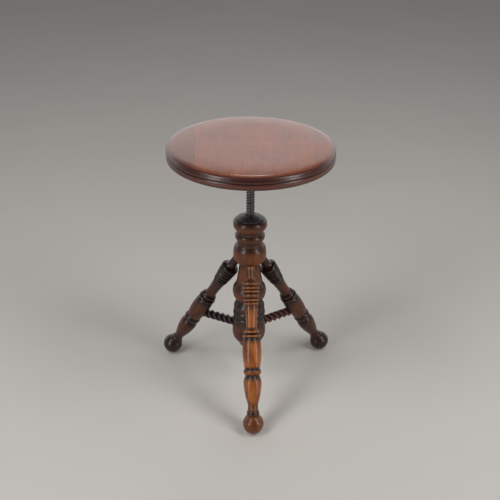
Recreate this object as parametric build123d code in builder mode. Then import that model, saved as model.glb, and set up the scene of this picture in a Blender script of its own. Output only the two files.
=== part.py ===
from build123d import *
import os
from math import atan2, cos, degrees, radians, sin, tan

# Adjustable swivel stool on a turned tripod column, in millimetres.
# The origin is on the column's axis at floor level, +Z is up, and the front leg points to -Y.
# A round wooden seat stands on an iron screw. The screw turns in an iron nut let into the
# head of the column, so that turning the seat raises and lowers it.

# ---- seat and screw ----
SEAT_DIAMETER = 355.0
SEAT_THICKNESS = 30.0
SEAT_UNDERSIDE = 561.0  # height of the seat's flat underside, as the stool is shown
SCREW_DIAMETER = 18.8
SCREW_PITCH = 6.35
THREAD_DEPTH = 1.9
THREAD_BASE_WIDTH = 4.4  # along the axis, where the thread stands on the screw's core
THREAD_CREST_WIDTH = 1.9
THREAD_CLEARANCE = 0.35  # between screw and nut, square to the axis
THREAD_PLAY = 0.4  # between the flanks, along the axis, on each side
THREAD_ROOTING = 0.2  # depth by which a thread reaches into the metal that carries it

PLATE_THICKNESS = 6.0
PLATE_SPAN = 124.0
PLATE_ARM_WIDTH = 24.0
BOSS_RADIUS = 18.0
BOSS_HEIGHT = 14.0
SHANK_RADIUS = 8.8  # plain top of the screw, inside the boss
PIN_RADIUS = 2.5

# ---- column ----
COLUMN_TOP = 416.0
NUT_LENGTH = 36.0  # sleeve of the nut below the top of the column
NUT_RADIUS = 16.0
FLANGE_RADIUS = 29.0
CAP_HEIGHT = 8.5
CAP_MOUTH_RADIUS = 10.4
BORE_RADIUS = 12.0
BORE_FLOOR = 228.0
FINIAL_JOINT = 101.5
SPIGOT_RADIUS = 8.0
SPIGOT_LENGTH = 20.0

# ---- legs and stretchers ----
FOOT_CIRCLE_RADIUS = 210.2
FOOT_RADIUS = 22.5
FOOT_CENTRE_HEIGHT = 22.0  # a little under the radius, which leaves a small worn flat
LEG_MEETS_AXIS_HEIGHT = 360.7
LEG_BEARINGS = {"front": -90.0, "right": 30.0, "left": 150.0}
TENON_RADIUS = 8.0
NECK_RADIUS = 9.5
NECK_END = 341.0  # distances along the leg are measured from the centre of its foot
TENON_END = 356.0
SOCKET_DEPTH = 14.0  # how far the neck itself stands in the column
STRETCHER_HEIGHT = 139.5
STRETCHER_RADIUS = 10.6
STRETCHER_LEAD = 41.0  # one full turn of the rope twist
STRETCHER_START = 38.4  # where the twist leaves the column
STRETCHER_TENON_RADIUS = 6.5
STRETCHER_TENON_DEPTH = 15.0
STRETCHER_LEG_GAP = 8.0  # from the end of the tenon to the leg's axis
LEG_MORTISE_REACH = 30.0
LEG_BARREL_RADIUS = 20.9

# ---- lower end of the screw: the stop ----
STOP_SHOULDER = 354.0  # end of the thread
PILOT_RADIUS = 5.5
PILOT_LENGTH = 4.0
WASHER_RADIUS = 11.3
WASHER_THICKNESS = 3.2
WASHER_BORE = 5.85
STOP_SCREW_HEAD_RADIUS = 8.5
STOP_SCREW_HEAD_HEIGHT = 3.5
STOP_SCREW_RADIUS = 2.5
STOP_SCREW_LENGTH = 16.0

THREAD_SLOPE = (THREAD_BASE_WIDTH - THREAD_CREST_WIDTH) / 2 / THREAD_DEPTH
SEAT_TOP = SEAT_UNDERSIDE + SEAT_THICKNESS
SEAT_RADIUS = SEAT_DIAMETER / 2
PLATE_UNDERSIDE = SEAT_UNDERSIDE - PLATE_THICKNESS
BOSS_END = PLATE_UNDERSIDE - BOSS_HEIGHT
LEG_RISE = LEG_MEETS_AXIS_HEIGHT - FOOT_CENTRE_HEIGHT
LEG_SLOPE = atan2(LEG_RISE, FOOT_CIRCLE_RADIUS)
RAISED = Vector(0, 0, STRETCHER_HEIGHT)  # from the floor to the stretchers' axes

os.makedirs("parts", exist_ok=True)


def save(piece, name):
    """Label a finished piece and write it under that name."""
    piece.part.label = name
    export_step(piece.part, f"parts/{name}.step")


def turned_outline(steps):
    """Draw a closed turner's outline. A plain point is reached by a straight line, and a pair
    of points by an arc that passes through the first and ends at the second."""
    here = steps[0]
    for step in steps[1:]:
        if isinstance(step[0], tuple):
            ThreePointArc(here, step[0], step[1])
            here = step[1]
        else:
            Line(here, step)
            here = step
    Line(here, steps[0])


def bead(radius, start, end, crown):
    """A half-round bead between two heights, standing crown proud of the radius."""
    return ((radius + crown, (start + end) / 2), (radius, end))


# ---------------------------------------------------------------- threads


def helical_ridge(start, length, radius, outline):
    """A right-hand ridge swept round Z. The outline holds (along the axis, out from the radius)
    points. Its turn is counted from the end of the screw's thread, so that all ridges made
    with one start to the pitch are in step."""
    with BuildPart() as ridge:
        with BuildLine():
            path = Helix(SCREW_PITCH, length, radius)
        with BuildSketch(Plane(origin=path @ 0, x_dir=(0, 0, 1), z_dir=path % 0)):
            with BuildLine():
                Polyline(*outline, close=True)
            make_face()
        sweep(is_frenet=True)
    turn = 360 * (start - STOP_SHOULDER) / SCREW_PITCH
    return ridge.part.rotate(Axis.Z, turn).moved(Location((0, 0, start)))


def screw_thread():
    """The thread that stands on the core of the screw."""
    core = SCREW_DIAMETER / 2 - THREAD_DEPTH
    base_half = THREAD_BASE_WIDTH / 2 + THREAD_SLOPE * THREAD_ROOTING
    crest_half = THREAD_CREST_WIDTH / 2
    end_gap = base_half + 0.4
    outline = [
        (-base_half, -THREAD_ROOTING),
        (base_half, -THREAD_ROOTING),
        (crest_half, THREAD_DEPTH),
        (-crest_half, THREAD_DEPTH),
    ]
    length = BOSS_END - STOP_SHOULDER - 2 * end_gap
    return helical_ridge(STOP_SHOULDER + end_gap, length, core, outline)


def nut_thread(bottom, top):
    """The thread inside the nut, which fills the gap between the turns of the screw's thread."""
    wall = SCREW_DIAMETER / 2 + THREAD_CLEARANCE
    base_half = (SCREW_PITCH - THREAD_CREST_WIDTH) / 2 - THREAD_PLAY
    tip_half = base_half - THREAD_SLOPE * THREAD_DEPTH
    rooted_half = base_half + THREAD_SLOPE * THREAD_ROOTING
    outline = [
        (-rooted_half, THREAD_ROOTING),
        (rooted_half, THREAD_ROOTING),
        (tip_half, -THREAD_DEPTH),
        (-tip_half, -THREAD_DEPTH),
    ]
    end_gap = rooted_half + 0.2
    ridge = helical_ridge(bottom + end_gap, top - bottom - 2 * end_gap, wall, outline)
    return ridge.rotate(Axis.Z, 180)


def twisted(section, length, lead):
    """A section twisted right-handed as it rises along Z, one turn in each lead."""
    return Solid.extrude_linear_with_rotation(
        section, center=(0, 0, 0), normal=(0, 0, length), angle=360 * length / lead
    )


# ---------------------------------------------------------------- fasteners


def wood_screw_outline(head_radius, shank_radius, length):
    """Half outline of a countersunk screw, head face at zero and point down."""
    cone = head_radius - shank_radius
    return [
        (0, 0),
        (head_radius, 0),
        (shank_radius, -cone),
        (shank_radius, -length + 2 * shank_radius),
        (0, -length),
    ]


SEAT_SCREW_HEAD = 4.6
SEAT_SCREW_SHANK = 2.2
SEAT_SCREW_LENGTH = 20.0
SEAT_SCREW_RADII = (36.0, 53.0)
SLOT_WIDTH = 1.0
SLOT_DEPTH = 1.2


def seat_screw_places():
    """Heads of the seat's screws: two on each of the plate's four arms, driven from below."""
    places = []
    for arm in range(4):
        for radius in SEAT_SCREW_RADII:
            bearing = radians(90 * arm)
            places.append((radius * cos(bearing), radius * sin(bearing)))
    return places


def build_seat_screws():
    with BuildPart() as screws:
        for x, y in seat_screw_places():
            head_face = Plane(origin=(x, y, PLATE_UNDERSIDE), x_dir=(1, 0, 0), z_dir=(0, 0, -1))
            side = Plane(origin=(x, y, PLATE_UNDERSIDE), x_dir=(1, 0, 0), z_dir=(0, 1, 0))
            with BuildSketch(side):
                with BuildLine():
                    turned_outline(
                        wood_screw_outline(SEAT_SCREW_HEAD, SEAT_SCREW_SHANK, SEAT_SCREW_LENGTH)
                    )
                make_face()
            revolve(axis=Axis((x, y, 0), (0, 0, 1)))
            with BuildSketch(head_face):
                Rectangle(2 * SEAT_SCREW_HEAD + 1, SLOT_WIDTH)
            extrude(amount=-SLOT_DEPTH, mode=Mode.SUBTRACT)
    save(screws, "seat_plate_screws")


# ---------------------------------------------------------------- seat unit


def build_seat():
    """A disc with a rolled top edge, two fine grooves round its rim and a bead between them."""
    low, high, edge = SEAT_UNDERSIDE, SEAT_TOP, SEAT_RADIUS
    with BuildPart() as seat:
        with BuildSketch(Plane.XZ):
            with BuildLine():
                turned_outline(
                    [
                        (0, low),
                        (edge - 2, low),
                        ((edge - 0.6, low + 0.6), (edge, low + 2)),
                        (edge, low + 10),
                        ((edge - 0.5, low + 11.5), (edge - 2, low + 12)),
                        (edge - 2, low + 12.6),
                        ((edge - 0.2, low + 16.2), (edge - 1.6, low + 19.6)),
                        (edge - 2.4, low + 20.2),
                        (edge - 0.4, low + 21),
                        ((edge - 1.2, high - 6.4), (edge - 3.3, high - 4.7)),
                        ((edge - 9.5, high - 1.9), (edge - 16, high - 0.7)),
                        ((edge - 26, high - 0.18), (edge - 36, high)),
                        (0, high),
                    ]
                )
            make_face()
        revolve(axis=Axis.Z)
        pilot_depth = SEAT_SCREW_LENGTH - PLATE_THICKNESS
        underside = Plane(origin=(0, 0, low), x_dir=(1, 0, 0), z_dir=(0, 0, -1))
        with Locations(underside):
            with Locations(*[(x, -y) for x, y in seat_screw_places()]):
                Hole(SEAT_SCREW_SHANK, depth=pilot_depth + 0.2)
    save(seat, "seat")


def build_seat_plate():
    """Cast-iron spider with four arms and a boss that holds the head of the screw."""
    with BuildPart() as plate:
        with BuildSketch(Plane.XY.offset(PLATE_UNDERSIDE)):
            Circle(BOSS_RADIUS + 9)
            for turn in (0, 90):
                SlotOverall(PLATE_SPAN, PLATE_ARM_WIDTH, rotation=turn)
        extrude(amount=PLATE_THICKNESS)
        lower_edges = plate.faces().sort_by(Axis.Z)[0].edges()
        fillet(lower_edges, 1.5)
        with BuildSketch(Plane.XY.offset(BOSS_END)):
            Circle(BOSS_RADIUS)
        extrude(amount=BOSS_HEIGHT)
        boss_rim = plate.edges().filter_by(GeomType.CIRCLE).sort_by(Axis.Z)[0]
        chamfer(boss_rim, 1.5)
        with BuildSketch(Plane.XY.offset(BOSS_END)):
            Circle(SHANK_RADIUS)
        extrude(amount=BOSS_HEIGHT + PLATE_THICKNESS, mode=Mode.SUBTRACT)
        underside = Plane(origin=(0, 0, PLATE_UNDERSIDE), x_dir=(1, 0, 0), z_dir=(0, 0, -1))
        with Locations(underside):
            with Locations(*[(x, -y) for x, y in seat_screw_places()]):
                CounterSinkHole(
                    SEAT_SCREW_SHANK, SEAT_SCREW_HEAD, depth=PLATE_THICKNESS, counter_sink_angle=90
                )
        with Locations(pin_plane()):
            Hole(PIN_RADIUS, depth=2 * BOSS_RADIUS)
    save(plate, "seat_plate")


def pin_plane():
    """Outer end of the cross pin's hole through the boss, at the +X side."""
    height = BOSS_END + BOSS_HEIGHT / 2
    return Plane(origin=(BOSS_RADIUS, 0, height), x_dir=(0, 1, 0), z_dir=(1, 0, 0))


def build_spindle():
    """The screw: a plain shank in the boss, a coarse thread, and a turned-down pilot below."""
    with BuildPart() as spindle:
        with BuildSketch(Plane.XY.offset(STOP_SHOULDER)):
            Circle(SCREW_DIAMETER / 2 - THREAD_DEPTH)
        extrude(amount=BOSS_END - STOP_SHOULDER)
        add(screw_thread())
        with BuildSketch(Plane.XY.offset(BOSS_END)):
            Circle(SHANK_RADIUS)
        extrude(amount=SEAT_UNDERSIDE - BOSS_END)
        with BuildSketch(Plane.XY.offset(STOP_SHOULDER)):
            Circle(PILOT_RADIUS)
        extrude(amount=-PILOT_LENGTH)
        with BuildSketch(Plane.XY.offset(STOP_SHOULDER - PILOT_LENGTH)):
            Circle(STOP_SCREW_RADIUS)
        extrude(amount=STOP_SCREW_LENGTH, mode=Mode.SUBTRACT)
        with Locations(pin_plane()):
            Hole(PIN_RADIUS, depth=2 * BOSS_RADIUS)
    save(spindle, "spindle")


def build_spindle_pin():
    with BuildPart() as pin:
        with BuildSketch(pin_plane()):
            Circle(PIN_RADIUS)
        extrude(amount=-2 * BOSS_RADIUS)
    save(pin, "spindle_pin")


def build_stop_washer():
    """Loose washer that the screw carries up and down without turning it. It meets the lower
    face of the nut before the screw can leave it."""
    gap = (PILOT_LENGTH - WASHER_THICKNESS) / 2
    with BuildPart() as washer:
        with BuildSketch(Plane.XY.offset(STOP_SHOULDER - gap - WASHER_THICKNESS)):
            Circle(WASHER_RADIUS)
            Circle(WASHER_BORE, mode=Mode.SUBTRACT)
        extrude(amount=WASHER_THICKNESS)
        chamfer(washer.edges().filter_by(GeomType.CIRCLE).group_by(SortBy.RADIUS)[-1], 0.4)
    save(washer, "stop_washer")


def build_stop_screw():
    """Slotted cheese-head screw that keeps the washer on the pilot."""
    seat_height = STOP_SHOULDER - PILOT_LENGTH
    with BuildPart() as screw:
        with BuildSketch(Plane.XY.offset(seat_height)):
            Circle(STOP_SCREW_HEAD_RADIUS)
        extrude(amount=-STOP_SCREW_HEAD_HEIGHT)
        chamfer(screw.edges().sort_by(Axis.Z)[0], 0.6)
        with BuildSketch(Plane.XY.offset(seat_height)):
            Circle(STOP_SCREW_RADIUS)
        extrude(amount=STOP_SCREW_LENGTH)
        with BuildSketch(Plane.XY.offset(seat_height - STOP_SCREW_HEAD_HEIGHT)):
            Rectangle(2 * STOP_SCREW_HEAD_RADIUS + 1, 1.6)
        extrude(amount=1.4, mode=Mode.SUBTRACT)
    save(screw, "stop_screw")


# ---------------------------------------------------------------- nut in the column's head

COLLAR_SCREW_CIRCLE = 22.5
COLLAR_SCREW_SEAT = 418.4
COLLAR_SCREW_HEAD = 3.2
COLLAR_SCREW_HEAD_HEIGHT = 2.0
COLLAR_SCREW_SHANK = 1.6
COLLAR_SCREW_LENGTH = 16.0


def build_threaded_collar():
    """Cast-iron nut: a domed cap on the column's head and a threaded sleeve let into it. The
    thread runs through the sleeve, and the cap's mouth is plain."""
    bottom = COLUMN_TOP - NUT_LENGTH
    top = COLUMN_TOP + CAP_HEIGHT
    wall = SCREW_DIAMETER / 2 + THREAD_CLEARANCE
    with BuildPart() as collar:
        with BuildSketch(Plane.XZ):
            with BuildLine():
                turned_outline(
                    [
                        (wall, bottom),
                        (NUT_RADIUS, bottom),
                        (NUT_RADIUS, COLUMN_TOP),
                        (FLANGE_RADIUS, COLUMN_TOP),
                        (FLANGE_RADIUS, COLUMN_TOP + 1.5),
                        ((FLANGE_RADIUS - 6, COLUMN_TOP + 4.6), (FLANGE_RADIUS - 12.5, top - 1)),
                        ((FLANGE_RADIUS - 14, top - 0.3), (FLANGE_RADIUS - 16, top)),
                        (CAP_MOUTH_RADIUS, top),
                        (CAP_MOUTH_RADIUS, COLUMN_TOP),
                        (wall, COLUMN_TOP),
                    ]
                )
            make_face()
        revolve(axis=Axis.Z)
        add(nut_thread(bottom, COLUMN_TOP))
        with Locations(Plane.XY.offset(top)):
            with PolarLocations(COLLAR_SCREW_CIRCLE, 3, start_angle=30):
                CounterBoreHole(
                    COLLAR_SCREW_SHANK,
                    COLLAR_SCREW_HEAD + 0.1,
                    top - COLLAR_SCREW_SEAT,
                    depth=CAP_HEIGHT,
                )
    save(collar, "threaded_collar")


def build_collar_screws():
    with BuildPart() as screws:
        with BuildSketch(Plane.XY.offset(COLLAR_SCREW_SEAT)):
            with PolarLocations(COLLAR_SCREW_CIRCLE, 3, start_angle=30):
                Circle(COLLAR_SCREW_HEAD)
        extrude(amount=COLLAR_SCREW_HEAD_HEIGHT)
        with BuildSketch(Plane.XY.offset(COLLAR_SCREW_SEAT)):
            with PolarLocations(COLLAR_SCREW_CIRCLE, 3, start_angle=30):
                Circle(COLLAR_SCREW_SHANK)
        extrude(amount=-COLLAR_SCREW_LENGTH)
        with BuildSketch(Plane.XY.offset(COLLAR_SCREW_SEAT + COLLAR_SCREW_HEAD_HEIGHT)):
            with PolarLocations(COLLAR_SCREW_CIRCLE, 3, start_angle=30):
                Rectangle(2 * COLLAR_SCREW_HEAD + 1, 0.8)
        extrude(amount=-0.9, mode=Mode.SUBTRACT)
    save(screws, "collar_screws")


# ---------------------------------------------------------------- column


def column_outline():
    """The column from its foot to its head: lower bulb, four soft rings, ball ring, long
    tapered shaft, bulb for the legs, small ring and the ball under the collar."""
    return [
        (0, FINIAL_JOINT),
        (23.6, FINIAL_JOINT),
        ((33.0, 109.5), (37.2, 121.5)),
        ((38.1, 134), (36.2, 150)),
        (34.4, 157.5),
        ((36.3, 164), (34.3, 170.5)),
        ((36.5, 178), (33.9, 187.5)),
        ((34.9, 196), (29.2, 207)),
        ((27.6, 209.5), (27.4, 213)),
        (28.0, 215.5),
        ((33.5, 219.6), (36.6, 228)),
        ((37.7, 237), (35.4, 247)),
        ((33.2, 251), (29.8, 255.5)),
        (29.2, 259),
        (25.0, 284),
        (23.2, 298),
        (22.2, 311),
        ((31.5, 313.5), (36.0, 321.5)),
        ((36.8, 331), (36.0, 341)),
        ((33.6, 349.2), (28.6, 354.8)),
        (28.2, 357),
        (28.2, 365.5),
        ((32.2, 370), (32.7, 375)),
        ((31.6, 379.6), (28.6, 382)),
        (28.6, 391),
        ((34.8, 395), (36.8, 404.5)),
        ((35.4, 411.5), (30.6, COLUMN_TOP)),
        (0, COLUMN_TOP),
    ]


def toward_axis(name):
    """Level direction from a foot toward the column."""
    bearing = radians(LEG_BEARINGS[name])
    return Vector(-cos(bearing), -sin(bearing), 0)


def up_leg(name):
    """Direction of a leg's own axis, from its foot upward."""
    return toward_axis(name) * cos(LEG_SLOPE) + Vector(0, 0, sin(LEG_SLOPE))


def foot_centre(name):
    return toward_axis(name) * -FOOT_CIRCLE_RADIUS + Vector(0, 0, FOOT_CENTRE_HEIGHT)


def build_column():
    mortise_start = NECK_END - SOCKET_DEPTH
    with BuildPart() as column:
        with BuildSketch(Plane.XZ):
            with BuildLine():
                turned_outline(column_outline())
            make_face()
        revolve(axis=Axis.Z)
        with BuildSketch(Plane.XY.offset(COLUMN_TOP)):
            Circle(NUT_RADIUS)
        extrude(amount=-NUT_LENGTH, mode=Mode.SUBTRACT)
        with BuildSketch(Plane.XY.offset(BORE_FLOOR)):
            Circle(BORE_RADIUS)
        extrude(amount=COLUMN_TOP - NUT_LENGTH - BORE_FLOOR, mode=Mode.SUBTRACT)
        with BuildSketch(Plane.XY.offset(FINIAL_JOINT)):
            Circle(SPIGOT_RADIUS)
        extrude(amount=SPIGOT_LENGTH, mode=Mode.SUBTRACT)
        collar_screw_depth = COLLAR_SCREW_LENGTH - (COLLAR_SCREW_SEAT - COLUMN_TOP)
        with Locations(Plane.XY.offset(COLUMN_TOP)):
            with PolarLocations(COLLAR_SCREW_CIRCLE, 3, start_angle=30):
                Hole(COLLAR_SCREW_SHANK, depth=collar_screw_depth)
        for name in LEG_BEARINGS:
            start = foot_centre(name) + up_leg(name) * mortise_start
            with Locations(Plane(origin=start, z_dir=-up_leg(name))):
                CounterBoreHole(
                    TENON_RADIUS,
                    NECK_RADIUS,
                    NECK_END - mortise_start,
                    depth=TENON_END - mortise_start,
                )
            outward = -toward_axis(name)
            surface = outward * STRETCHER_START + RAISED
            with Locations(Plane(origin=surface, z_dir=outward)):
                Hole(STRETCHER_TENON_RADIUS, depth=STRETCHER_TENON_DEPTH)
    save(column, "column")


def build_drop_finial():
    """Acorn drop under the column, with a spigot glued into it."""
    with BuildPart() as finial:
        with BuildSketch(Plane.XZ):
            with BuildLine():
                turned_outline(
                    [
                        (0, 74.5),
                        (4, 74.5),
                        ((12.5, 79.5), (19.0, 89.5)),
                        ((22.6, 95), (23.2, FINIAL_JOINT)),
                        (SPIGOT_RADIUS, FINIAL_JOINT),
                        (SPIGOT_RADIUS, FINIAL_JOINT + SPIGOT_LENGTH - 1),
                        (0, FINIAL_JOINT + SPIGOT_LENGTH - 1),
                    ]
                )
            make_face()
        revolve(axis=Axis.Z)
    save(finial, "drop_finial")


# ---------------------------------------------------------------- legs


def leg_outline():
    """Radius against distance up the leg's axis from the centre of its ball foot."""
    ball = FOOT_RADIUS
    steps = [
        (0, -ball),
        ((ball * cos(radians(20)), -ball * sin(radians(20))), (14.2, 18.5)),
        (13.4, 20.5),
        bead(13.2, 20.5, 27, 0.6),
        (12.0, 28.5),
        ((10.9, 36), (12.0, 44.5)),
        ((17.6, 68), (19.5, 84)),
        ((19.3, 93), (16.0, 102)),
        (15.2, 103.5),
        (16.0, 105),
        ((19.4, 112), (16.9, 118)),
        (16.3, 119.5),
        (17.4, 121.5),
        ((20.7, 152), (19.3, 182)),
        (18.0, 185.2),
        (17.8, 186.2),
        ((20.0, 190), (17.2, 194)),
        (15.4, 195),
        ((17.4, 199.5), (14.6, 203.5)),
        (12.3, 206),
        ((12.2, 220), (14.7, 252)),
        (15.0, 257),
    ]
    ring_edges = (257, 264.5, 272, 283, 291, 298.5)
    ring_crests = (16.6, 17.4, 18.6, 19.3, 19.8)
    here = 15.0
    for start, end, crest in zip(ring_edges, ring_edges[1:], ring_crests):
        groove = crest - 2.4
        steps.append((here, start))
        steps.append(((crest, (start + end) / 2), (groove, end - 0.6)))
        here = groove
    steps += [
        (here, 298.5),
        ((20.3, 303.5), (16.5, 309)),
        ((12.5, 311.5), (10.4, 315)),
        (NECK_RADIUS, 322),
        (NECK_RADIUS, NECK_END),
        (TENON_RADIUS, NECK_END),
        (TENON_RADIUS, TENON_END),
        (0, TENON_END),
    ]
    return without_repeats(steps)


def without_repeats(steps):
    """Drop a plain point that stands where the step before it already ends."""
    kept = [steps[0]]
    for step in steps[1:]:
        last = kept[-1][1] if isinstance(kept[-1][0], tuple) else kept[-1]
        if step != last:
            kept.append(step)
    return kept


def leg_plane(name):
    """Plane through the leg's axis: local Y runs up the leg from the centre of its foot."""
    across = toward_axis(name).cross(Vector(0, 0, 1))
    return Plane(origin=foot_centre(name), x_dir=across, z_dir=across.cross(up_leg(name)))


def build_leg(name):
    with BuildPart() as leg:
        with BuildSketch(leg_plane(name)):
            with BuildLine():
                turned_outline(leg_outline())
            make_face()
        revolve(axis=Axis(foot_centre(name), up_leg(name)))
        split(bisect_by=Plane.XY, keep=Keep.TOP)
        inner = toward_axis(name) * -(stretcher_end() - LEG_MORTISE_REACH)
        with Locations(Plane(origin=inner + RAISED, z_dir=toward_axis(name))):
            Hole(STRETCHER_TENON_RADIUS, depth=LEG_MORTISE_REACH)
    save(leg, f"leg_{name}")


# ---------------------------------------------------------------- stretchers


def leg_axis_radius(height):
    """Distance of the leg's axis from the column's, at a height."""
    return (LEG_MEETS_AXIS_HEIGHT - height) / tan(LEG_SLOPE)


def stretcher_end():
    """Far end of the stretcher's tenon, a little short of the leg's axis."""
    return leg_axis_radius(STRETCHER_HEIGHT) - STRETCHER_LEG_GAP


def rope_section():
    """Three round strands lying together."""
    strand_radius = STRETCHER_RADIUS * 0.52
    with BuildSketch() as section:
        with PolarLocations(STRETCHER_RADIUS - strand_radius, 3):
            Circle(strand_radius)
    return section.sketch.face()


def build_stretcher(name):
    """A rope-twist rod with a plain round tenon at each end. The leg end of the twist is cut
    to the slope of the leg."""
    axis_here = leg_axis_radius(STRETCHER_HEIGHT)
    face_distance = LEG_BARREL_RADIUS / sin(LEG_SLOPE)
    twist_end = axis_here - face_distance + STRETCHER_RADIUS / tan(LEG_SLOPE) + 1
    upright = twisted(rope_section(), twist_end - STRETCHER_START, STRETCHER_LEAD)
    outward = -toward_axis(name)
    start = outward * STRETCHER_START + RAISED
    rod_plane = Plane(origin=start, x_dir=outward.cross(Vector(0, 0, 1)), z_dir=outward)
    rope = upright.moved(rod_plane.location)
    leg_face = outward * (axis_here - face_distance) + RAISED
    slope_normal = outward * sin(LEG_SLOPE) + Vector(0, 0, cos(LEG_SLOPE))
    with BuildPart() as stretcher:
        add(rope)
        split(bisect_by=Plane(origin=leg_face, z_dir=slope_normal), keep=Keep.BOTTOM)
        with BuildSketch(rod_plane):
            Circle(STRETCHER_TENON_RADIUS)
        extrude(amount=-STRETCHER_TENON_DEPTH)
        with BuildSketch(rod_plane):
            Circle(STRETCHER_TENON_RADIUS)
        extrude(amount=stretcher_end() - STRETCHER_START)
    save(stretcher, f"stretcher_{name}")


def main():
    print(f"leg slope {degrees(LEG_SLOPE):.2f} degrees, seat top {SEAT_TOP}")
    build_seat()
    build_seat_plate()
    build_seat_screws()
    build_spindle()
    build_spindle_pin()
    build_stop_washer()
    build_stop_screw()
    build_threaded_collar()
    build_collar_screws()
    build_column()
    build_drop_finial()
    for name in LEG_BEARINGS:
        build_leg(name)
        build_stretcher(name)


main()
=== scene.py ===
import math
import random
import bmesh
import bpy
from mathutils import Matrix, Vector


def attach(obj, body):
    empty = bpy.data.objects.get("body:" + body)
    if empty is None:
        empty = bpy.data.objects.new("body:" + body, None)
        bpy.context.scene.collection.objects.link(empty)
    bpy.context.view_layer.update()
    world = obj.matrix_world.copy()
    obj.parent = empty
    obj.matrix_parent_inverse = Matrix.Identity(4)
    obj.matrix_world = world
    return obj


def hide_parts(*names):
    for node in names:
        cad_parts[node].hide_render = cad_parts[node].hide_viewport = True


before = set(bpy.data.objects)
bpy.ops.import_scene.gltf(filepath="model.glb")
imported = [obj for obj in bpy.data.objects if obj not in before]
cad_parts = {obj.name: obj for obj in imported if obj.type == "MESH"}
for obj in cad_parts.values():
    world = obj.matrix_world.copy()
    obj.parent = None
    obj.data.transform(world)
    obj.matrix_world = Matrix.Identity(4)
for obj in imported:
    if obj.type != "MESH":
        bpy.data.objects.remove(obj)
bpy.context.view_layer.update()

# The looks of an adjustable swivel stool: a round wooden seat on an iron screw, over a turned
# tripod column. Outlines are in millimetres, as (distance from the axis, distance along it), and
# are turned into meshes in metres. An outline's plain point is reached by a straight line, and
# a pair of points by an arc that passes through the first and ends at the second.

MM = 0.001
STAND = "stand"
SEAT_BODY = "turning_seat"

# ---- sizes, which repeat the model's ----
SEAT_RADIUS = 177.5
SEAT_LOW = 561.0
SEAT_HIGH = 591.0
SCREW_CORE = 7.5
SCREW_PITCH = 6.35
THREAD_DEPTH = 1.9
RIDGE_FOOT = 0.37  # half the width of the thread's ridge, as a share of the pitch
RIDGE_FLANK = 0.2  # the width of each of its flanks, as a share of the pitch
THREAD_START = 354.0
THREAD_END = 541.0
NUT_WALL = 9.75
NUT_RIDGE_DEPTH = 0.85 * THREAD_DEPTH
NUT_BOTTOM = 380.0
COLUMN_TOP = 416.0
LEFT_JOINT = -118.0  # where the joints between the seat's three boards lie, along X
RIGHT_JOINT = 61.0
FOOT_CIRCLE = 210.2
FOOT_CENTRE_HEIGHT = 22.0
BALL_FOOT = 22.5
LEG_APEX = 360.7
LEG_SLOPE = math.atan2(LEG_APEX - FOOT_CENTRE_HEIGHT, FOOT_CIRCLE)
LEG_BEARINGS = {"front": -90, "right": 30, "left": 150}
STRETCHER_HEIGHT = 139.5
STRETCHER_RADIUS = 10.6
STRETCHER_LEAD = 41.0
STRETCHER_START = 33.0
STRETCHER_LEG_GAP = 8.0
STRETCHER_END = (LEG_APEX - STRETCHER_HEIGHT) / math.tan(LEG_SLOPE) - STRETCHER_LEG_GAP

# ---- the camera: place in metres, angles in degrees with a pitch of 90 for level ----
CAMERA_PLACE = (-0.0991, -1.7167, 1.2668)
CAMERA_HEADING = -3.318
CAMERA_PITCH = 61.61
CAMERA_ROLL = 0.694
CAMERA_LENS = 63.55

# ---- outlines ----
COLUMN = [
    (0, 101.5),
    (23.6, 101.5),
    ((33.0, 109.5), (37.2, 121.5)),
    ((38.1, 134), (36.2, 150)),
    (34.4, 157.5),
    ((36.3, 164), (34.3, 170.5)),
    ((36.5, 178), (33.9, 187.5)),
    ((34.9, 196), (29.2, 207)),
    ((27.6, 209.5), (27.4, 213)),
    (28.0, 215.5),
    ((33.5, 219.6), (36.6, 228)),
    ((37.7, 237), (35.4, 247)),
    ((33.2, 251), (29.8, 255.5)),
    (29.2, 259),
    (25.0, 284),
    (23.2, 298),
    (22.2, 311),
    ((31.5, 313.5), (36.0, 321.5)),
    ((36.8, 331), (36.0, 341)),
    ((33.6, 349.2), (28.6, 354.8)),
    (28.2, 357),
    (28.2, 365.5),
    ((32.2, 370), (32.7, 375)),
    ((31.6, 379.6), (28.6, 382)),
    (28.6, 391),
    ((34.8, 395), (36.8, 404.5)),
    ((35.4, 411.5), (30.6, COLUMN_TOP)),
    (16, COLUMN_TOP),
    (16, NUT_BOTTOM),
    (12, NUT_BOTTOM),
    (12, 228),
    (0, 228),
]

DROP = [
    (0, 74.5),
    (4, 74.5),
    ((12.5, 79.5), (19.0, 89.5)),
    ((22.6, 95), (23.2, 101.4)),
    (0, 101.4),
]

SEAT = [
    (0, SEAT_LOW),
    (SEAT_RADIUS - 2, SEAT_LOW),
    ((SEAT_RADIUS - 0.6, SEAT_LOW + 0.6), (SEAT_RADIUS, SEAT_LOW + 2)),
    (SEAT_RADIUS, SEAT_LOW + 10),
    ((SEAT_RADIUS - 0.5, SEAT_LOW + 11.5), (SEAT_RADIUS - 2, SEAT_LOW + 12)),
    (SEAT_RADIUS - 2, SEAT_LOW + 12.6),
    ((SEAT_RADIUS - 0.2, SEAT_LOW + 16.2), (SEAT_RADIUS - 1.6, SEAT_LOW + 19.6)),
    (SEAT_RADIUS - 2.4, SEAT_LOW + 20.2),
    (SEAT_RADIUS - 0.4, SEAT_LOW + 21),
    ((SEAT_RADIUS - 1.7, SEAT_HIGH - 6.5), (SEAT_RADIUS - 4.6, SEAT_HIGH - 4.8)),
    ((SEAT_RADIUS - 11, SEAT_HIGH - 3.1), (SEAT_RADIUS - 19, SEAT_HIGH - 2)),
    ((SEAT_RADIUS - 42, SEAT_HIGH - 0.52), (SEAT_RADIUS - 66, SEAT_HIGH)),
    (0, SEAT_HIGH),
]

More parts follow.
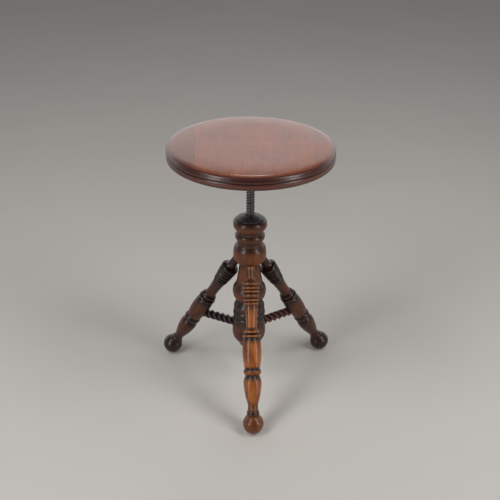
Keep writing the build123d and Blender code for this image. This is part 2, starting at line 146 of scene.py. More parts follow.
SPINDLE = [
    (0, 350),
    (5.5, 350),
    (5.5, THREAD_START),
    (SCREW_CORE, THREAD_START),
    (SCREW_CORE, THREAD_END),
    (8.8, THREAD_END),
    (8.8, SEAT_LOW),
    (0, SEAT_LOW),
]

COLLAR = [
    (NUT_WALL, NUT_BOTTOM),
    (16, NUT_BOTTOM),
    (16, COLUMN_TOP),
    (29, COLUMN_TOP),
    (29, COLUMN_TOP + 1.5),
    ((23, COLUMN_TOP + 4.6), (16.5, COLUMN_TOP + 7.5)),
    ((15, COLUMN_TOP + 8.2), (13, COLUMN_TOP + 8.5)),
    (10.4, COLUMN_TOP + 8.5),
    (10.4, COLUMN_TOP),
    (NUT_WALL, COLUMN_TOP),
    (NUT_WALL, NUT_BOTTOM),
]


def leg_outline():
    """Distance from the leg's axis against distance up it from the centre of the ball foot."""
    tilt = math.radians(20)
    steps = [
        (0, -BALL_FOOT),
        ((BALL_FOOT * math.cos(tilt), -BALL_FOOT * math.sin(tilt)), (14.2, 18.5)),
        (13.4, 20.5),
        ((13.8, 23.75), (13.2, 27)),
        (12.0, 28.5),
        ((10.9, 36), (12.0, 44.5)),
        ((17.6, 68), (19.5, 84)),
        ((19.3, 93), (16.0, 102)),
        (15.2, 103.5),
        (16.0, 105),
        ((19.4, 112), (16.9, 118)),
        (16.3, 119.5),
        (17.4, 121.5),
        ((20.7, 152), (19.3, 182)),
        (18.0, 185.2),
        (17.8, 186.2),
        ((20.0, 190), (17.2, 194)),
        (15.4, 195),
        ((17.4, 199.5), (14.6, 203.5)),
        (12.3, 206),
        ((12.2, 220), (14.7, 252)),
        (15.0, 257),
    ]
    ring_edges = (257, 264.5, 272, 283, 291, 298.5)
    ring_crests = (16.6, 17.4, 18.6, 19.3, 19.8)
    for start, end, crest in zip(ring_edges, ring_edges[1:], ring_crests):
        groove = crest - 2.4
        steps.append(((crest, (start + end) / 2), (groove, end - 0.6)))
        steps.append((groove, end))
    steps += [
        ((20.3, 303.5), (16.5, 309)),
        ((12.5, 311.5), (10.4, 315)),
        (9.5, 322),
        (9.5, 341),
        (0, 341),
    ]
    return steps


# ---------------------------------------------------------------- outlines


def clamped(value):
    return max(0.0, min(1.0, value))


def smoothstep(value):
    """An even S-shaped rise from 0 to 1."""
    share = clamped(value)
    return share * share * (3 - 2 * share)


def arc_points(start, through, end, spacing):
    """Points along the arc, without its start."""
    a, b, c = start.to_3d(), through.to_3d(), end.to_3d()
    ab, ac = b - a, c - a
    normal = ab.cross(ac)
    if normal.length < 1e-9:
        return [through, end]
    swing = normal.cross(ab) * ac.length_squared + ac.cross(normal) * ab.length_squared
    centre = a + swing / (2 * normal.length_squared)
    radius = (a - centre).length
    first = math.atan2(a.y - centre.y, a.x - centre.x)
    last = math.atan2(c.y - centre.y, c.x - centre.x)
    if normal.z > 0 and last < first:
        last += math.tau
    if normal.z < 0 and last > first:
        last -= math.tau
    count = max(3, math.ceil(radius * abs(last - first) / spacing))
    points = []
    for i in range(1, count + 1):
        angle = first + (last - first) * i / count
        points.append(centre.to_2d() + radius * Vector((math.cos(angle), math.sin(angle))))
    return points


def traced(outline, spacing):
    """Evenly spaced points along an outline's lines and arcs."""
    points = [Vector(outline[0])]
    for step in outline[1:]:
        here = points[-1]
        if isinstance(step[0], tuple):
            points += arc_points(here, Vector(step[0]), Vector(step[1]), spacing)
            continue
        there = Vector(step)
        count = max(1, math.ceil((there - here).length / spacing))
        points += [here.lerp(there, i / count) for i in range(1, count + 1)]
    return points


def turn_at(points, i):
    """Signed turn of an outline at a point: positive where it bulges, negative in a groove."""
    if i == 0 or i == len(points) - 1:
        return 0.0
    before = points[i] - points[i - 1]
    after = points[i + 1] - points[i]
    return math.atan2(before.x * after.y - before.y * after.x, before.dot(after))


def eased(points, radius):
    """The outline with its sharp corners slightly rounded, as by years of hands and polish."""
    smooth = []
    for i, point in enumerate(points):
        if abs(turn_at(points, i)) < math.radians(14):
            smooth.append(point)
            continue
        before, after = points[i - 1] - point, points[i + 1] - point
        start = point + before.normalized() * min(radius, before.length * 0.45)
        end = point + after.normalized() * min(radius, after.length * 0.45)
        for t in (0, 0.25, 0.5, 0.75, 1):
            smooth.append(start.lerp(point, t).lerp(point.lerp(end, t), t))
    return smooth


def path_lengths(points):
    lengths = [0.0]
    for a, b in zip(points, points[1:]):
        lengths.append(lengths[-1] + (b - a).length)
    return lengths


def groove_shade(points, below, above, dark_bands=()):
    """How much dark glaze and painted shade lies on each point of an outline. The glaze gathers in
    every groove, fades within below mm on the shoulder under it and within above mm on the side
    over it. The dark_bands, each (height, strength, reach), add painted shade in bands where the
    pieces lie in shade."""
    lengths = path_lengths(points)
    grooves = []
    for i in range(len(points)):
        hollow = sum(turn_at(points, j) for j in range(max(0, i - 1), min(len(points), i + 2)))
        if hollow < -0.12:
            grooves.append((lengths[i], points[i].y, min(1.0, -hollow / 0.7)))
    shades = []
    for here, point in zip(lengths, points):
        shade = 0.0
        for there, height, strength in grooves:
            reach = below if height > point.y else above
            shade = max(shade, strength * math.exp(-((there - here) / reach) ** 2))
        for height, strength, reach in dark_bands:
            shade = max(shade, strength * math.exp(-((point.y - height) / reach) ** 2))
        shades.append(shade)
    return shades


def crest_wear(points, window, height):
    """How far each point stands over its neighbours on both sides, from 0 to 1."""
    wear = []
    for point in points:
        lower = [p.x for p in points if 0 <= point.y - p.y < window]
        upper = [p.x for p in points if 0 <= p.y - point.y < window]
        proud = point.x - max(min(lower), min(upper))
        wear.append(clamped(proud / height))
    return wear


# ---------------------------------------------------------------- meshes


def lathe(name, points, segments, shade=None, wear=None, relief=None, grain_shift=(0, 0, 0)):
    """A turned piece about Z. relief(radius, height, angle) adds to the radius. The mesh keeps
    where each point lies in the turner's blank, for the grain, its glaze and painted shade, and
    its wear."""
    mesh = bpy.data.meshes.new(name)
    verts, faces, grain, shades, wears = [], [], [], [], []
    rings = []
    for i, point in enumerate(points):
        count = 1 if point.x < 1e-6 else segments
        rings.append((len(verts), count))
        for k in range(count):
            angle = math.tau * k / segments
            radius = point.x
            if relief:
                radius += relief(point.x, point.y, angle)
            spot = Vector((radius * math.cos(angle), radius * math.sin(angle), point.y)) * MM
            verts.append(spot)
            grain.append(spot + Vector(grain_shift))
            shades.append(shade[i] if shade else 0.0)
            wears.append(wear[i] if wear else 0.0)
    for (low, low_count), (high, high_count) in zip(rings, rings[1:]):
        if low_count == 1 and high_count == 1:
            continue
        for k in range(segments):
            following = (k + 1) % segments
            if low_count == 1:
                faces.append((low, high + following, high + k))
            elif high_count == 1:
                faces.append((low + k, low + following, high))
            else:
                faces.append((low + k, low + following, high + following, high + k))
    mesh.from_pydata(verts, [], faces)
    return finished_piece(name, mesh, grain, shades, wears)


def finished_piece(name, mesh, grain, shades, wears):
    """Weld the mesh, smooth it, store its attributes and put it in the scene."""
    attribute = mesh.attributes.new("grain", "FLOAT_VECTOR", "POINT")
    attribute.data.foreach_set("vector", [c for spot in grain for c in spot])
    for title, values in (("glaze_and_shade", shades), ("wear", wears)):
        attribute = mesh.attributes.new(title, "FLOAT", "POINT")
        attribute.data.foreach_set("value", values)
    welded = bmesh.new()
    welded.from_mesh(mesh)
    bmesh.ops.remove_doubles(welded, verts=welded.verts, dist=1e-6)
    bmesh.ops.recalc_face_normals(welded, faces=welded.faces)
    for face in welded.faces:
        face.smooth = True
    for edge in welded.edges:
        if len(edge.link_faces) == 2 and edge.calc_face_angle() > math.radians(40):
            edge.smooth = False
    welded.to_mesh(mesh)
    welded.free()
    piece = bpy.data.objects.new(name, mesh)
    bpy.context.scene.collection.objects.link(piece)
    return piece


def rope_twist(name, length, segments, grain_shift):
    """A rod of three strands twisted right-handed, along Z from 0 to the length. The lean is the
    angle from the nearest strand's crest."""
    strand = STRETCHER_RADIUS * 0.52
    offset = STRETCHER_RADIUS - strand
    verts, faces, grain, shades, wears = [], [], [], [], []
    rings = math.ceil(length / 0.9)
    for i in range(rings + 1):
        height = length * i / rings
        for k in range(segments):
            angle = math.tau * k / segments
            lean = (angle + math.pi / 3) % (math.tau / 3) - math.pi / 3
            across = offset * math.sin(lean)
            radius = offset * math.cos(lean) + math.sqrt(strand**2 - across**2)
            turned = angle + math.tau * height / STRETCHER_LEAD
            verts.append(Vector((radius * math.cos(turned), radius * math.sin(turned), height)) * MM)
            grain.append(verts[-1] + Vector(grain_shift))
            hollow = abs(lean) / (math.pi / 3)
            shades.append(hollow**3)
            wears.append(max(0.0, 1 - 2.2 * hollow))
    for i in range(rings):
        for k in range(segments):
            following = (k + 1) % segments
            low, high = i * segments, (i + 1) * segments
            faces.append((low + k, low + following, high + following, high + k))
    faces.append(tuple(range(segments))[::-1])
    faces.append(tuple(rings * segments + k for k in range(segments)))
    mesh = bpy.data.meshes.new(name)
    mesh.from_pydata(verts, [], faces)
    return finished_piece(name, mesh, grain, shades, wears)


def place(piece, matrix):
    """Move a piece's mesh to where it stands, so that its object stays at the origin."""
    piece.data.transform(matrix)
    return piece


# ---------------------------------------------------------------- materials


def colour(red, green, blue):
    """A display colour, 0 to 255, as the linear colour that the shaders take."""
    linear = []
    for channel in (red, green, blue):
        value = channel / 255
        linear.append(value / 12.92 if value <= 0.04045 else ((value + 0.055) / 1.055) ** 2.4)
    return (*linear, 1.0)


class Finish:
    """A material under construction, with one short method for each kind of node it needs."""

    def __init__(self, name):
        self.material = bpy.data.materials.new(name)
        self.material.use_nodes = True
        self.nodes = self.material.node_tree.nodes
        self.links = self.material.node_tree.links
        self.shader = self.nodes["Principled BSDF"]

    def connect(self, value, socket):
        if isinstance(value, bpy.types.NodeSocket):
            self.links.new(value, socket)
        else:
            socket.default_value = value

    def attribute(self, name, output="Fac"):
        node = self.nodes.new("ShaderNodeAttribute")
        node.attribute_name = name
        return node.outputs[output]

    def object_place(self):
        return self.nodes.new("ShaderNodeTexCoord").outputs["Object"]

    def stretched(self, vector, scale, shift=(0, 0, 0)):
        node = self.nodes.new("ShaderNodeMapping")
        self.connect(vector, node.inputs["Vector"])
        node.inputs["Scale"].default_value = scale
        node.inputs["Location"].default_value = shift
        return node.outputs["Vector"]

    def noise(self, vector, scale, detail=3.0, roughness=0.55, distortion=0.0):
        node = self.nodes.new("ShaderNodeTexNoise")
        self.connect(vector, node.inputs["Vector"])
        node.inputs["Scale"].default_value = scale
        node.inputs["Detail"].default_value = detail
        node.inputs["Roughness"].default_value = roughness
        node.inputs["Distortion"].default_value = distortion
        return node.outputs[0]

    def rings(self, vector, spacing, distortion):
        """Growth rings about the vector's own Z axis, spacing metres apart."""
        node = self.nodes.new("ShaderNodeTexWave")
        node.wave_type = "RINGS"
        node.rings_direction = "Z"
        node.wave_profile = "SAW"
        self.connect(vector, node.inputs["Vector"])
        node.inputs["Scale"].default_value = math.tau / (20 * spacing)
        node.inputs["Distortion"].default_value = distortion
        node.inputs["Detail"].default_value = 2.0
        node.inputs["Detail Scale"].default_value = 1.2
        return node.outputs["Fac"]

    def ranged(self, value, low, high, to_low=0.0, to_high=1.0):
        node = self.nodes.new("ShaderNodeMapRange")
        self.connect(value, node.inputs["Value"])
        node.inputs["From Min"].default_value = low
        node.inputs["From Max"].default_value = high
        node.inputs["To Min"].default_value = to_low
        node.inputs["To Max"].default_value = to_high
        return node.outputs["Result"]

    def maths(self, operation, first, second=0.0, clamp=False):
        node = self.nodes.new("ShaderNodeMath")
        node.operation = operation
        node.use_clamp = clamp
        self.connect(first, node.inputs[0])
        self.connect(second, node.inputs[1])
        return node.outputs[0]

    def mixed(self, factor, first, second, blend="MIX"):
        node = self.nodes.new("ShaderNodeMix")
        node.data_type = "RGBA"
        node.blend_type = blend
        self.connect(factor, node.inputs[0])
        self.connect(first, node.inputs[6])
        self.connect(second, node.inputs[7])
        return node.outputs[2]

    def axis(self, vector, name):
        node = self.nodes.new("ShaderNodeSeparateXYZ")
        self.connect(vector, node.inputs[0])
        return node.outputs[name]

    def bump(self, height, distance, normal=None):
        node = self.nodes.new("ShaderNodeBump")
        node.inputs["Distance"].default_value = distance
        self.connect(height, node.inputs["Height"])
        if normal:
            self.links.new(normal, node.inputs["Normal"])
        return node.outputs["Normal"]

    def set(self, **values):
        for title, value in values.items():
            self.connect(value, self.shader.inputs[title.replace("_", " ")])


def wood(name, light, body, dark, glaze_and_shade, pith, gold):
    """Polished stained wood: fibres along the piece, growth rings about an off-centre pith,
    a mottled stain, near-black glaze and painted shade in the hollows and dark bands, and
    rubbed crests, under old shellac. The gold, from 0 to 1, is how far the crests are lightened
    toward light wood: rubbed wear, and where it is high, on the front leg and the rods, also a
    painted highlight."""
    finish = Finish(name)
    grain = finish.attribute("grain", "Vector")
    about_pith = finish.stretched(grain, (1, 1, 0.12), (-pith[0], -pith[1], 0))
    rings = finish.rings(about_pith, 0.0042, 3.0)
    streaks = finish.noise(finish.stretched(grain, (1, 1, 0.05)), 260, 3.0)
    fibres = finish.noise(finish.stretched(grain, (1, 1, 0.02)), 1500, 2.0)
    clouds = finish.noise(finish.stretched(grain, (1, 1, 0.4)), 34, 3.0, 0.6)
    speckle = finish.noise(grain, 420, 2.0, 0.7)

    tone = finish.mixed(finish.ranged(clouds, 0.34, 0.68), body, light)
    tone = finish.mixed(finish.ranged(streaks, 0.46, 0.76, 0.0, 0.6), tone, dark)
    tone = finish.mixed(finish.maths("MULTIPLY", rings, 0.3), tone, dark)
    pores = finish.ranged(fibres, 0.6, 0.74, 0.0, 0.45)
    tone = finish.mixed(pores, tone, dark)

    rubbed = finish.maths("MULTIPLY", finish.attribute("wear"), finish.ranged(speckle, 0.3, 0.6))
    # Crests lightened toward the light colour: rubbed wear, and where the gold is high also a
    # painted highlight.
    gilded_and_highlit = finish.maths("MULTIPLY", rubbed, gold)
    tone = finish.mixed(gilded_and_highlit, tone, light)
    patchy = finish.ranged(clouds, 0.3, 0.7, 0.75, 1.15)
    covered = finish.maths("MULTIPLY", finish.attribute("glaze_and_shade"), patchy, clamp=True)
    kept = finish.maths("SUBTRACT", 1.0, finish.maths("MULTIPLY", gilded_and_highlit, 0.8), clamp=True)
    covered = finish.maths("MULTIPLY", covered, kept, clamp=True)
    tone = finish.mixed(covered, tone, glaze_and_shade)

    gloss = finish.ranged(clouds, 0.3, 0.7, 0.32, 0.44)
    gloss = finish.maths("ADD", gloss, finish.ranged(speckle, 0.3, 0.7, -0.03, 0.05))
    grooves = finish.maths("MULTIPLY", fibres, -1.0)
    normal = finish.bump(grooves, 0.00012)
    normal = finish.bump(finish.noise(grain, 90, 2.0), 0.0005, normal)
    finish.set(Base_Color=tone, Roughness=gloss, Normal=normal)
    finish.set(Coat_Weight=0.34, Coat_Roughness=0.2, Specular_IOR_Level=0.24)
    return finish.material


def seat_wood(name, roughness, coat):
    """Mahogany boards laid front to back, with a moulded rim darkened by glaze and painted shade.
    The coat is the strength of the polish over them, 0 for bare wood."""
    finish = Finish(name)
    where = finish.object_place()
    across = finish.axis(where, "X")
    left_board = finish.maths("LESS_THAN", across, LEFT_JOINT * MM)
    right_board = finish.maths("GREATER_THAN", across, RIGHT_JOINT * MM)
    # Each board takes its grain from another depth of the pattern.
    boards = finish.maths("ADD", finish.maths("MULTIPLY", left_board, 3.7), right_board)
    shift = finish.nodes.new("ShaderNodeCombineXYZ")
    finish.connect(boards, shift.inputs["Z"])
    shifted = finish.nodes.new("ShaderNodeVectorMath")
    finish.connect(where, shifted.inputs[0])
    finish.connect(shift.outputs[0], shifted.inputs[1])
    board = shifted.outputs[0]

    rings = finish.rings(finish.stretched(board, (1, 0.1, 1), (0.03, 0, 0.09)), 0.0075, 5.0)
    streaks = finish.noise(finish.stretched(board, (1, 0.05, 1)), 210, 4.0, 0.6)
    fibres = finish.noise(finish.stretched(board, (1, 0.025, 1)), 1300, 2.0)
    clouds = finish.noise(finish.stretched(board, (1, 0.6, 1)), 15, 4.0, 0.6)
    speckle = finish.noise(board, 330, 3.0, 0.7)

    light, body, dark = colour(180, 94, 44), colour(138, 66, 34), colour(66, 28, 22)
    tone = finish.mixed(finish.ranged(clouds, 0.25, 0.75), body, light)
    tone = finish.mixed(finish.maths("MULTIPLY", rings, 0.16), tone, dark)
    tone = finish.mixed(finish.ranged(streaks, 0.42, 0.78, 0.0, 0.34), tone, dark)
    tone = finish.mixed(finish.ranged(fibres, 0.58, 0.74, 0.0, 0.3), tone, dark)
    tone = finish.mixed(finish.ranged(speckle, 0.4, 0.75, 0.0, 0.4), tone, dark)
    tone = finish.mixed(finish.maths("MULTIPLY", left_board, 0.32), tone, colour(84, 62, 60))
    seam = finish.maths("COMPARE", across, LEFT_JOINT * MM)
    seam.node.inputs[2].default_value = 0.0006
    tone = finish.mixed(finish.maths("MULTIPLY", seam, 0.5), tone, dark)
    # The rim's glaze and painted shade; the mauve in this colour is a painted sheen.
    tone = finish.mixed(finish.attribute("glaze_and_shade"), tone, colour(46, 22, 25))

    gloss = finish.ranged(clouds, 0.3, 0.7, roughness, roughness + 0.05)
    gloss = finish.maths("ADD", gloss, finish.ranged(speckle, 0.3, 0.7, -0.03, 0.05))
    normal = finish.bump(finish.maths("MULTIPLY", fibres, -1.0), 0.0001)
    normal = finish.bump(finish.noise(board, 30, 1.0), 0.0005, normal)
    finish.set(Base_Color=tone, Roughness=gloss, Normal=normal)
    finish.set(Coat_Weight=coat, Coat_Roughness=0.1, Specular_IOR_Level=coat)
    return finish.material


def iron(name, base, worn, rust, roughness, casting):
    """Blackened iron: a grainy skin rubbed brighter in places, with a trace of rust. The casting
    is the height of the skin's grain in metres."""
    finish = Finish(name)
    where = finish.object_place()
    grit = finish.noise(where, 900, 4.0, 0.65)
    patches = finish.noise(where, 120, 3.0, 0.6)
    tone = finish.mixed(finish.ranged(grit, 0.42, 0.7), base, worn)
    tone = finish.mixed(finish.ranged(patches, 0.58, 0.74, 0.0, 0.5), tone, rust)
    finish.set(
        Base_Color=tone,
        Roughness=finish.ranged(patches, 0.3, 0.7, roughness - 0.08, roughness + 0.12),
        Metallic=finish.ranged(patches, 0.5, 0.75, 0.85, 0.35),
        Normal=finish.bump(grit, casting),
    )
    return finish.material


def floor_finish():
    """Plain pale floor with a barely visible unevenness."""
    finish = Finish("pale_floor")
    clouds = finish.noise(finish.object_place(), 2.2, 4.0)
    tone = finish.mixed(clouds, colour(203, 200, 196), colour(211, 208, 204))
    finish.set(Base_Color=tone, Roughness=0.75, Specular_IOR_Level=0.25)
    return finish.material


# ---------------------------------------------------------------- pieces


def dress(piece, material, body, node):
    """Give a piece its material and body, in place of the CAD node it stands for."""
    piece.data.materials.append(material)
    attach(piece, body)
    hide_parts(node)


def screw_ridge(height, angle, start, end, crest):
    """Share of the thread's depth at a point, for a ridge of rounded section. The crest is where
    in the pitch the ridge stands, and the ridge fades over 3 mm at both ends of the thread."""
    fade = min(1.0, (height - start) / 3, (end - height) / 3)
    if fade <= 0:
        return 0.0
    phase = ((height - THREAD_START) / SCREW_PITCH - angle / math.tau + crest) % 1.0
    beside = min(phase, 1 - phase)
    return fade * smoothstep((RIDGE_FOOT - beside) / RIDGE_FLANK)


def screw_relief(radius, height, angle):
    if abs(radius - SCREW_CORE) > 0.01:
        return 0.0
    return THREAD_DEPTH * screw_ridge(height, angle, THREAD_START, THREAD_END, 0.0)


def nut_relief(radius, height, angle):
    if radius > NUT_WALL + 0.01:
        return 0.0
    return -NUT_RIDGE_DEPTH * screw_ridge(height, angle, NUT_BOTTOM, COLUMN_TOP, 0.5)


def leg_matrix(name):
    """From a leg's own axis, Z up it from the foot's centre, to where the leg stands."""
    bearing = math.radians(LEG_BEARINGS[name])
    outward = Vector((math.cos(bearing), math.sin(bearing), 0))
    foot = (outward * FOOT_CIRCLE + Vector((0, 0, FOOT_CENTRE_HEIGHT))) * MM
    along = -outward * math.cos(LEG_SLOPE) + Vector((0, 0, math.sin(LEG_SLOPE)))
    sideways = outward.cross(Vector((0, 0, 1)))
    facing = along.cross(sideways)
    turned = Matrix((sideways, facing, along)).transposed().to_4x4()
    return Matrix.Translation(foot) @ turned


def make_leg(name, material, grain_shift, painted_shade):
    """One turned leg. The painted shade, from 0 to 1, is how much painted shade darkens its foot by
    the floor and its head under the seat.
    """
    points = eased(traced(leg_outline(), 1.2), 0.5)
    # Painted shade in bands along the leg, added to the glaze, deepest at the ball foot by the floor
    # and at the head under the seat.
    ball, foot_neck, ankle = (0, 0.2 + 0.65 * painted_shade, 24), (22, 0.95, 10), (36, 0.6, 9)
    lower_vase, ringed_head = (84, 0.3 * painted_shade, 30), (282, 0.95 * painted_shade, 34)
    top_ring, tenon = (306, 0.6 + 0.4 * painted_shade, 13), (326, 0.7, 14)
    dark_bands = (ball, foot_neck, ankle, lower_vase, ringed_head, top_ring, tenon)
    shade = groove_shade(points, 11, 3, dark_bands)
    wear = crest_wear(points, 5, 1.6)
    leg = lathe(f"leg_{name}_turning", points, 96, shade, wear, grain_shift=grain_shift)
    place(leg, leg_matrix(name))
    for vertex in leg.data.vertices:
        vertex.co.z = max(vertex.co.z, 0.0)
    dress(leg, material, STAND, f"leg_{name}")


def make_stretcher(name, material, grain_shift):
    rod = rope_twist(
        f"stretcher_{name}_rope", STRETCHER_END - STRETCHER_START, 60, grain_shift
    )
    bearing = math.radians(LEG_BEARINGS[name])
    start = Vector((math.cos(bearing), math.sin(bearing), 0)) * STRETCHER_START
    start.z = STRETCHER_HEIGHT
    turn = Matrix.Rotation(bearing, 4, "Z") @ Matrix.Rotation(math.pi / 2, 4, "Y")
    place(rod, Matrix.Translation(start * MM) @ turn)
    dress(rod, material, STAND, f"stretcher_{name}")


def make_column():
    points = eased(traced(COLUMN, 1.2), 0.5)
    # Painted shade in bands, added to the glaze: under the collar and the bulb, round the ball ring,
    # along the lower body among the legs and over the drop.
    under_collar, under_bulb, ball_ring = (414, 1.0, 10), (352, 0.95, 9), (250, 0.9, 16)
    body_top, body_rings = (206, 1.0, 15), (176, 1.0, 28)
    lower_bulb, over_drop = (130, 0.4, 20), (101, 0.8, 8)
    dark_bands = (under_collar, under_bulb, ball_ring, body_top, body_rings, lower_bulb, over_drop)
    shade = groove_shade(points, 13, 2.5, dark_bands)
    wear = crest_wear(points, 5, 2.5)
    blank = (0.31, 0.17, 0.0)
    column = lathe("column_turning", points, 128, shade, wear, grain_shift=blank)
    material = wood(
        "column_mahogany",
        light=colour(122, 62, 25),
        body=colour(82, 37, 16),
        dark=colour(36, 15, 9),
        glaze_and_shade=colour(24, 18, 17),
        pith=(blank[0] + 0.006, blank[1] - 0.012),
        gold=0.3,
    )
    dress(column, material, STAND, "column")
    drop_points = eased(traced(DROP, 1.0), 0.4)
    # Painted shade at the top of the drop, where it hangs under the column.
    drop_shade = groove_shade(drop_points, 6, 2, [(101, 0.9, 7), (88, 0.5, 14)])
    drop = lathe("drop_finial_turning", drop_points, 96, drop_shade, grain_shift=blank)
    dress(drop, material, STAND, "drop_finial")


def make_seat():
    """The seat. Its rim is darkened all round with glaze and painted shade, the dark standing
    partly for the dark room that the rim reflects, and it fades over 10 mm onto the top. Its
    underside has no polish."""
    points = eased(traced(SEAT, 1.5), 0.4)
    # Painted shade: the rim's side and outer roll-over are darkened, partly as glaze and partly as a
    # painted dark reflection of the room.
    shade = groove_shade(points, 2.5, 2.0, [(SEAT_LOW + 2, 0.9, 8), (SEAT_LOW + 14, 0.9, 12)])
    for i, point in enumerate(points):
        if point.y > SEAT_LOW + 10:
            shade[i] = max(shade[i], 0.88 * smoothstep((point.x - SEAT_RADIUS + 13) / 10))
    seat = lathe("seat_board", points, 192, shade)
    polished = seat_wood("seat_mahogany", roughness=0.28, coat=0.4)
    bare = seat_wood("seat_underside", roughness=0.7, coat=0.0)
    dress(seat, polished, SEAT_BODY, "seat")
    seat.data.materials.append(bare)
    for face in seat.data.polygons:
        if face.center.z < (SEAT_LOW + 0.1) * MM:
            face.material_index = 1


def make_ironwork():
    black = iron(
        "black_cast_iron",
        base=colour(66, 66, 67),
        worn=colour(104, 104, 103),
        rust=colour(62, 46, 38),
        roughness=0.38,
        casting=0.0004,
    )
    screw_metal = iron(
        "screw_iron",
        base=colour(74, 74, 75),
        worn=colour(120, 120, 119),
        rust=colour(70, 54, 44),
        roughness=0.24,
        casting=0.00005,
    )
    steel = iron(
        "fastener_steel",
        base=colour(70, 68, 66),
        worn=colour(128, 125, 120),
        rust=colour(80, 54, 40),
        roughness=0.4,
        casting=0.0001,
    )
    points = eased(traced(SPINDLE, 0.55), 0.25)
    spindle = lathe("spindle_screw", points, 64, relief=screw_relief)
    dress(spindle, screw_metal, SEAT_BODY, "spindle")
    collar_points = eased(traced(COLLAR, 0.7), 0.3)
    collar = lathe("collar_cap", collar_points, 96, relief=nut_relief)
    dress(collar, black, STAND, "threaded_collar")
    kept = {
        "seat_plate": black,
        "spindle_pin": steel,
        "stop_washer": steel,
        "stop_screw": steel,
        "seat_plate_screws": steel,
        "collar_screws": steel,
    }
    for node, metal in kept.items():
        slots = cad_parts[node].data.materials
        slots.clear()
        slots.append(metal)


def make_legs():
    """The legs, each cut from its own blank. A tone is (light, body, dark, gold, painted shade). The
    front leg's lighter colours and higher gold are painted light, the side legs' darker colours
    and deeper shade painted shade.
    """
    rng = random.Random(7)
    tones = {
        # Painted light and shade: the front leg's colours are lighter, as lit by the lamps, the side
        # legs' darker, as in shade.
        "front": (colour(184, 108, 48), colour(120, 62, 26), colour(54, 24, 12), 0.85, 0.45),
        "right": (colour(104, 50, 20), colour(67, 29, 13), colour(30, 12, 7), 0.3, 0.9),
        "left": (colour(96, 45, 17), colour(61, 26, 11), colour(28, 11, 7), 0.3, 0.9),
    }
    for name, (light, body, dark, gold, painted_shade) in tones.items():
        shift = (rng.uniform(0.2, 0.9), rng.uniform(0.2, 0.9), rng.uniform(0, 0.5))
        material = wood(
            f"leg_{name}_wood",
            light=light,
            body=body,
            dark=dark,
            glaze_and_shade=colour(16, 12, 12),
            pith=(shift[0] + 0.035, shift[1] + 0.02),
            gold=gold,
        )
        make_leg(name, material, shift, painted_shade)


def make_stretchers():
    tones = {
        # Painted light and shade: the three rods are of one wood; the front rod's colours are
        # lighter, as lit, the two going back darker, as in shade.
        "front": (colour(128, 68, 38), colour(74, 37, 23)),
        "right": (colour(104, 58, 48), colour(54, 28, 24)),
        "left": (colour(74, 62, 56), colour(36, 29, 27)),
    }
    for i, (name, (light, body)) in enumerate(tones.items()):
        material = wood(
            f"stretcher_{name}_wood",
            light=light,
            body=body,
            dark=colour(30, 16, 14),
            glaze_and_shade=colour(16, 11, 10),
            pith=(0.03, 0.03),
            gold=0.6,
        )
        make_stretcher(name, material, (0.13 * i, 0.4, 0.2 * i))


# ---------------------------------------------------------------- room, light and camera


def make_floor():
    bpy.ops.mesh.primitive_plane_add(size=14)
    floor = bpy.context.object
    floor.name = "floor"
    floor.data.materials.append(floor_finish())


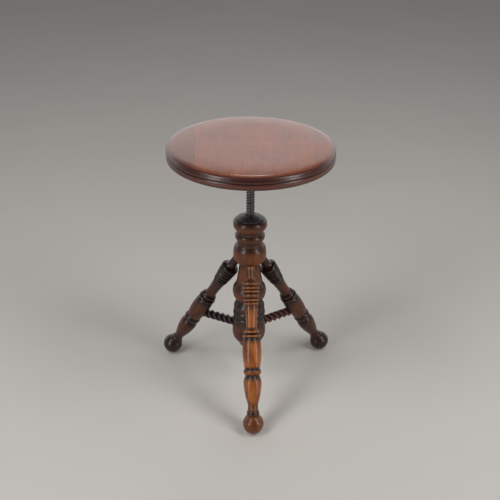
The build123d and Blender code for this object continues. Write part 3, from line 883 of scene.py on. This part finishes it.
def make_world():
    """A bright wall behind the stool, up to about 30 degrees over the horizon, and a much dimmer
    ceiling and room elsewhere."""
    world = bpy.data.worlds.new("studio")
    bpy.context.scene.world = world
    world.use_nodes = True
    nodes, links = world.node_tree.nodes, world.node_tree.links
    backdrop = nodes["Background"]
    direction = nodes.new("ShaderNodeTexCoord").outputs["Generated"]
    split = nodes.new("ShaderNodeSeparateXYZ")
    links.new(direction, split.inputs[0])

    def ranged(socket, low, high, to_low, to_high):
        node = nodes.new("ShaderNodeMapRange")
        node.interpolation_type = "SMOOTHSTEP"
        links.new(socket, node.inputs["Value"])
        node.inputs["From Min"].default_value = low
        node.inputs["From Max"].default_value = high
        node.inputs["To Min"].default_value = to_low
        node.inputs["To Max"].default_value = to_high
        return node.outputs["Result"]

    facing = ranged(split.outputs["Y"], -0.1, 0.7, 0.05, 1.2)
    height = ranged(split.outputs["Z"], 0.48, 0.55, 1.0, 0.08)
    strength = nodes.new("ShaderNodeMath")
    strength.operation = "MULTIPLY"
    links.new(facing, strength.inputs[0])
    links.new(height, strength.inputs[1])
    backdrop.inputs["Color"].default_value = (1.0, 0.99, 0.985, 1.0)
    links.new(strength.outputs[0], backdrop.inputs["Strength"])


def softbox(name, bearing, distance, height, width, tall, power):
    """A rectangle of light that faces the stool. Bearing 0 is the front, and positive bearings
    are to the right of it."""
    light = bpy.data.lights.new(name, "AREA")
    light.shape = "RECTANGLE"
    light.size = width
    light.size_y = tall
    light.energy = power
    light.color = (1.0, 0.985, 0.96)
    lamp = bpy.data.objects.new(name, light)
    bpy.context.scene.collection.objects.link(lamp)
    angle = math.radians(bearing)
    lamp.location = (distance * math.sin(angle), -distance * math.cos(angle), height)
    middle_of_stool = Vector((0, 0, 0.35))
    toward = middle_of_stool - lamp.location
    lamp.rotation_euler = toward.to_track_quat("-Z", "Y").to_euler()


def make_lights():
    """Two tall windows in front, two lights high at the sides, and a strip behind the seat that
    draws the thin bright line along its front edge."""
    window = {"distance": 2.6, "height": 1.3, "width": 0.7, "tall": 2.6}
    softbox("window_left", -50, power=36, **window)
    softbox("window_right", 54, power=34, **window)
    high = {"distance": 1.5, "height": 2.5, "width": 1.0, "tall": 1.0}
    softbox("high_left", -66, power=15, **high)
    softbox("high_right", 68, power=14, **high)
    strip = {"distance": 2.2, "height": 2.75, "width": 0.45, "tall": 0.12}
    softbox("ceiling_strip", 176, power=3.2, **strip)


def make_camera():
    """The camera looks down at the stool from the front, slightly from the left."""
    camera = bpy.data.cameras.new("camera")
    camera.lens = CAMERA_LENS
    camera.sensor_width = 36.0
    camera.dof.use_dof = False
    holder = bpy.data.objects.new("camera", camera)
    bpy.context.scene.collection.objects.link(holder)
    heading = Matrix.Rotation(math.radians(CAMERA_HEADING), 4, "Z")
    pitch = Matrix.Rotation(math.radians(CAMERA_PITCH), 4, "X")
    roll = Matrix.Rotation(math.radians(CAMERA_ROLL), 4, "Z")
    holder.matrix_world = Matrix.Translation(CAMERA_PLACE) @ heading @ pitch @ roll
    bpy.context.scene.camera = holder


make_camera()
make_floor()
make_world()
make_lights()
make_column()
make_legs()
make_stretchers()
make_seat()
make_ironwork()
bpy.context.scene.view_settings.view_transform = "Standard"
